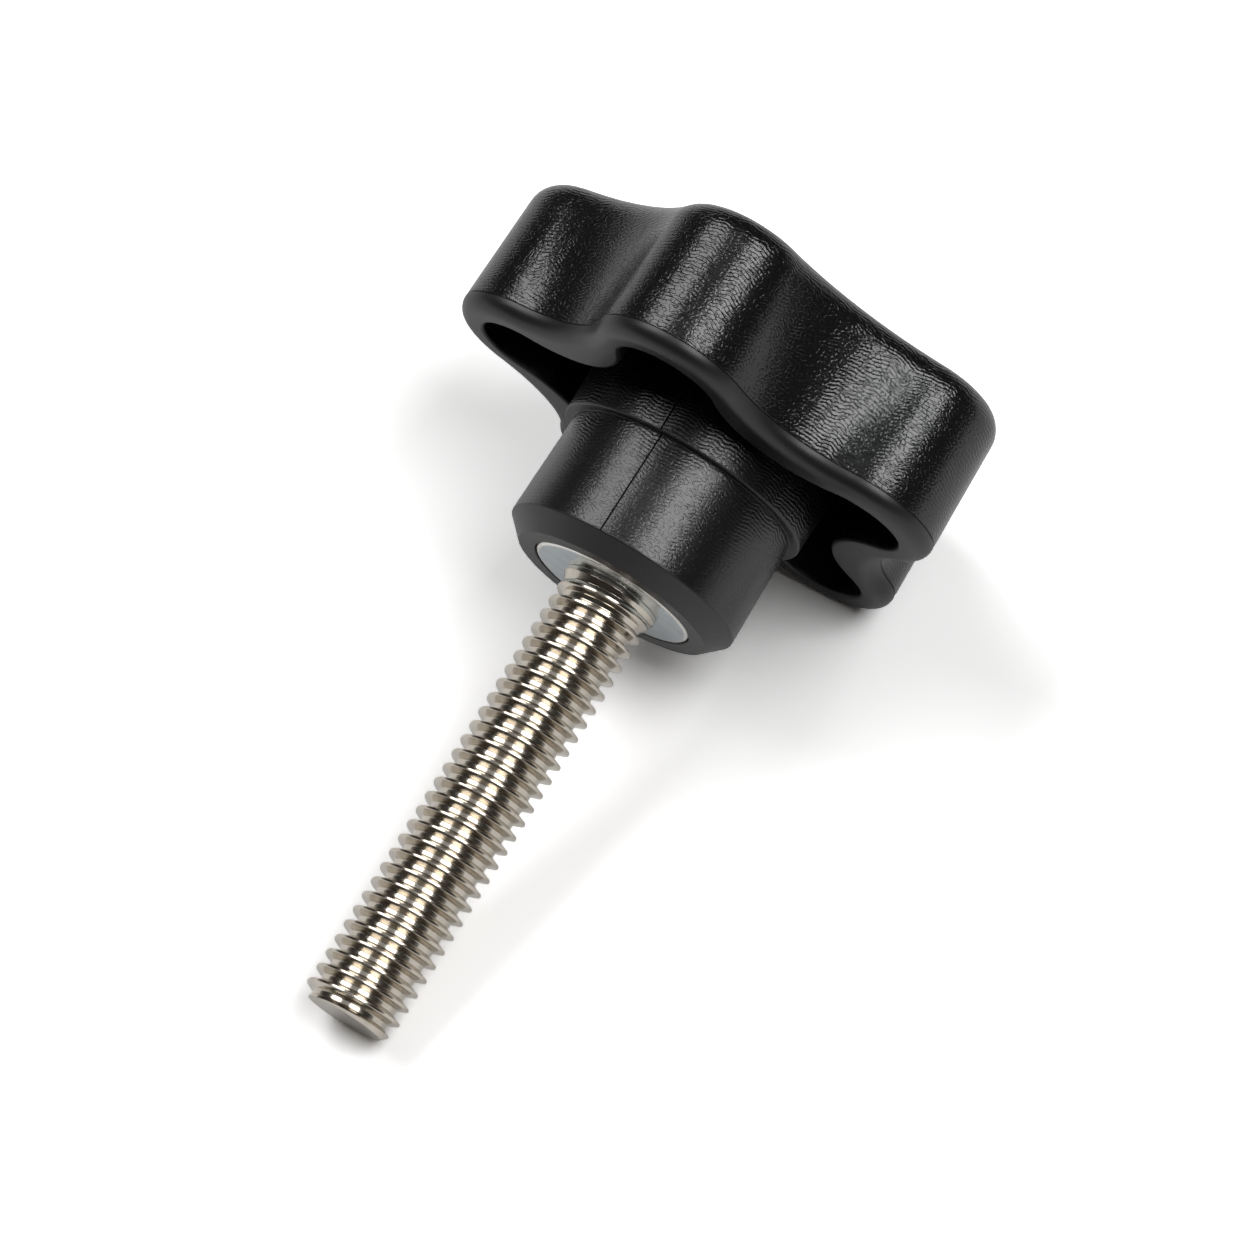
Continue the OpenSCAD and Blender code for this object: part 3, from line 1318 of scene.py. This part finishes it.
@dataclass(frozen=True)
class SoftBox:
    """A large soft lamp that faces the knob.

    Args:
        name: the lamp's name.
        azimuth: its direction around the knob, in degrees from +X towards +Y.
        elevation: its direction above the floor, in degrees.
        distance: its distance, in metres.
        width: its size along X, in metres.
        height: its size across, in metres.
        glow: how bright its face looks, where 1 is white.
    """

    name: str
    azimuth: float
    elevation: float
    distance: float
    width: float
    height: float
    glow: float

    def build(self) -> bpy.types.Object:
        """Makes the lamp.

        Returns:
            The lamp.
        """
        data = bpy.data.lights.new(self.name, "AREA")
        data.shape = "RECTANGLE"
        data.size = self.width
        data.size_y = self.height
        data.energy = self.glow * math.pi * self.width * self.height
        lamp = bpy.data.objects.new(self.name, data)
        towards = direction(self.azimuth, self.elevation)
        lamp.location = towards * self.distance
        across = towards.cross(Vector((1.0, 0.0, 0.0))).normalized()
        along = across.cross(towards)
        lamp.rotation_mode = "QUATERNION"
        lamp.rotation_quaternion = Matrix((along, across, towards)).transposed().to_quaternion()
        bpy.context.scene.collection.objects.link(lamp)
        return lamp


@dataclass(frozen=True)
class Camera:
    """The camera at the photograph's place.

    Args:
        aim: the point that it looks at, in millimetres.
        azimuth: its direction from there, in degrees from +X towards +Y.
        elevation: its direction above the floor, in degrees.
        distance: its distance from there, in millimetres.
        roll: its turn about its line of sight, in degrees.
        lens: its focal length, in millimetres.
    """

    aim: tuple[float, float, float] = (2.0, -2.04, 11.0)
    azimuth: float = -146.49
    elevation: float = 55.4
    distance: float = 280.8
    roll: float = -0.81
    lens: float = 135.6

    def build(self) -> bpy.types.Object:
        """Makes the camera and hands it to the scene.

        Returns:
            The camera.
        """
        data = bpy.data.cameras.new("view_camera")
        data.lens = self.lens
        data.clip_start = 0.01
        data.clip_end = 20.0
        camera = bpy.data.objects.new("view_camera", data)
        back = direction(self.azimuth, self.elevation)
        camera.location = (Vector(self.aim) + back * self.distance) * MM
        camera.rotation_mode = "QUATERNION"
        roll = Quaternion((0.0, 0.0, 1.0), math.radians(self.roll))
        camera.rotation_quaternion = (-back).to_track_quat("-Z", "Y") @ roll
        bpy.context.scene.collection.objects.link(camera)
        bpy.context.scene.camera = camera
        return camera


@dataclass(frozen=True)
class Studio:
    """Pale floor, dim surroundings and two soft boxes, one each side of the knob.

    Args:
        floor_size: width of the floor, in metres.
        paper: colour of the floor, which lights the knob from below.
        shown: colour of the floor as the camera sees it.
        mirrored: share of that brighter colour which reflections see.
        dark: colour of the surroundings.
        ceiling: colour of the surroundings straight above.
        near_r: distance from the knob where the floor starts to fade to plain white, in metres.
        far_r: distance where it is plain white, in metres.
        boxes: the lamps.
    """

    floor_size: float = 6.0
    paper: tuple[float, float, float] = (0.62, 0.62, 0.62)
    shown: tuple[float, float, float] = (1.62, 1.62, 1.62)
    mirrored: float = 0.2
    dark: tuple[float, float, float] = (0.03, 0.027, 0.024)
    ceiling: tuple[float, float, float] = (0.28, 0.28, 0.28)
    near_r: float = 0.2
    far_r: float = 0.6
    boxes: tuple[SoftBox, ...] = (
        SoftBox("far_box", 88.0, 60.5, 1.2, 0.75, 0.62, 4.4),
        SoftBox("near_box", -88.0, 62.0, 1.2, 0.75, 0.56, 6.0),
    )

    def build(self) -> None:
        """Makes the floor, the surroundings and the lamps."""
        for box in self.boxes:
            box.build()
        self._surroundings()
        self._floor()
        bpy.context.scene.view_settings.view_transform = "Standard"

    def _seen(self, tree: ShaderTree, share: Signal | float) -> Signal:
        """Works out how far a ray sees the background as it is painted.

        Args:
            tree: the tree of the floor or the world.
            share: what is left of the share that reflections see.

        Returns:
            1 for rays from the camera, and the share for reflections and for glass.
        """
        path = tree.node("ShaderNodeLightPath", {}, {})
        seen = Signal(tree, path.outputs[Ray.CAMERA.value])
        for ray in (Ray.GLOSSY, Ray.TRANSMISSION):
            seen = seen.apply("MAXIMUM", Signal(tree, path.outputs[ray.value]) * self.mirrored * share)
        return seen

    def _surroundings(self) -> None:
        """Paints the world."""
        world = bpy.data.worlds.new("surroundings")
        bpy.context.scene.world = world
        tree = ShaderTree(world)
        towards = tree.signal("ShaderNodeTexCoord", "Generated", {}, {})
        height = towards.apply("DOT_PRODUCT", (0.0, 0.0, 1.0))
        colour = tree.blend(height.ramp(0.8, 1.0), self.dark, self.ceiling)
        seen = self._seen(tree, height.ramp(0.0, 0.3, 1.0, 0.0))
        shown = tree.blend(seen, colour, (1.0, 1.0, 1.0))
        glow = tree.node("ShaderNodeBackground", {}, {"Color": shown, "Strength": 1.0})
        tree.node("ShaderNodeOutputWorld", {}, {"Surface": glow.outputs["Background"]})

    def _floor(self) -> None:
        """Makes the floor, which keeps the knob's shadow."""
        mesh = bpy.data.meshes.new("floor")
        work = bmesh.new()
        bmesh.ops.create_grid(work, x_segments=8, y_segments=8, size=self.floor_size / 2)
        work.to_mesh(mesh)
        work.free()
        floor = bpy.data.objects.new("floor", mesh)
        bpy.context.scene.collection.objects.link(floor)
        made = bpy.data.materials.new("floor_paper")
        tree = ShaderTree(made)
        seen = self._seen(tree, 1.0)
        away = tree.signal("ShaderNodeTexCoord", "Object", {}, {}).apply("LENGTH")
        far = away.ramp(self.near_r, self.far_r) * seen
        paper = tree.node("ShaderNodeBsdfDiffuse", {}, {"Color": tree.blend(seen, self.paper, self.shown)})
        white = tree.node("ShaderNodeEmission", {}, {"Color": (1.0, 1.0, 1.0), "Strength": 1.0})
        both = tree.node("ShaderNodeMixShader", {}, {0: far, 1: paper.outputs[0], 2: white.outputs[0]})
        tree.node("ShaderNodeOutputMaterial", {}, {"Surface": both.outputs[0]})
        mesh.materials.append(made)


def main() -> None:
    """Builds the pieces and the studio in order."""
    logging.basicConfig(level=logging.INFO, format="%(message)s")
    knurl = Knurl()
    stud = Stud()
    axes = KnobAxes.from_record(frame["record"], stud.length)
    for assembly, finish in (
        (KnobBody(knurl), GrainedPlastic()),
        (Insert(knurl), TurnedZinc()),
        (stud, RolledSteel()),
    ):
        piece = assembly.build(axes, finish)
        log.info("%s: %d faces", piece.name, len(piece.data.polygons))
    Studio().build()
    Camera().build()
    log.info("studio and camera in place")


if __name__ == "__main__":
    main()
